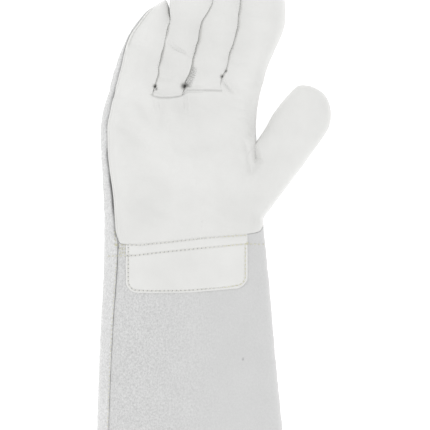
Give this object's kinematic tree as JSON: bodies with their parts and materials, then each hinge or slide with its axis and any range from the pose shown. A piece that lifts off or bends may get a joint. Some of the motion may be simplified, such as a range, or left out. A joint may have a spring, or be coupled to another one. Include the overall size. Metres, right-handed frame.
{
  "type": "welding gloves",
  "caption": "Long leather welding gauntlet: grain leather palm, finger fronts and wrist patch, split leather back and flared cuff, sewn in panels.",
  "frame": {"origin": "on the resting plane, under the middle of the wrist seam, on the flat underside of the cuff back panel", "axes": "+Y towards the fingertips, +X towards the thumb side, +Z out of the palm, away from the resting plane"},
  "size_m": [0.1792, 0.4019, 0.0518],
  "materials": {
    "grain_leather": "smooth off-white full-grain leather, fine pores, matt",
    "split_leather": "light grey split leather with a short nap",
    "sewing_thread": "pale yellow twisted heat-resistant sewing thread"
  },
  "bodies": {
    "cuff": {"cuff_back_panel": "split_leather", "cuff_front_panel": "split_leather", "cuff_mouth_binding": "split_leather", "patch_stitching": "sewing_thread", "pulse_patch": "grain_leather", "side_seam_stitching": "sewing_thread", "wrist_stitching_lower": "sewing_thread", "wrist_stitching_upper": "sewing_thread"},
    "hand": {"hand_back_panel": "split_leather", "palm_panel": "grain_leather", "palm_seam_welt": "grain_leather"},
    "thumb": {"thumb_back": "split_leather", "thumb_front": "grain_leather"},
    "index": {"index_back": "split_leather", "index_front": "grain_leather", "index_left_fourchette": "grain_leather"},
    "middle": {"middle_back": "split_leather", "middle_front": "grain_leather", "middle_left_fourchette": "grain_leather", "middle_right_fourchette": "grain_leather"},
    "ring": {"ring_back": "split_leather", "ring_front": "grain_leather", "ring_left_fourchette": "grain_leather", "ring_right_fourchette": "grain_leather"},
    "little": {"little_back": "split_leather", "little_front": "grain_leather", "little_right_fourchette": "grain_leather"}
  },
  "joints": [
    {"name": "wrist_bend", "type": "hinge", "parent": "cuff", "child": "hand", "pos_m": [0, 0.012, 0.01725], "axis": [0.9972, 0.0748, 0], "range_deg": [0, 45]},
    {"name": "thumb_bend", "type": "hinge", "parent": "hand", "child": "thumb", "pos_m": [0.069, 0.0608, 0.01325], "axis": [0.7986, -0.6018, 0], "range_deg": [0, 40]},
    {"name": "index_bend", "type": "hinge", "parent": "hand", "child": "index", "pos_m": [0.04637, 0.1225, 0.01125], "axis": [0.9483, -0.3173, 0], "range_deg": [0, 60]},
    {"name": "middle_bend", "type": "hinge", "parent": "hand", "child": "middle", "pos_m": [0.01624, 0.1215, 0.01125], "axis": [0.9613, -0.2756, 0], "range_deg": [0, 60]},
    {"name": "ring_bend", "type": "hinge", "parent": "hand", "child": "ring", "pos_m": [-0.01077, 0.117, 0.01125], "axis": [0.9681, -0.2504, 0], "range_deg": [0, 60]},
    {"name": "little_bend", "type": "hinge", "parent": "hand", "child": "little", "pos_m": [-0.0394, 0.118, 0.01125], "axis": [0.9681, -0.2504, 0], "range_deg": [0, 60]}
  ]
}
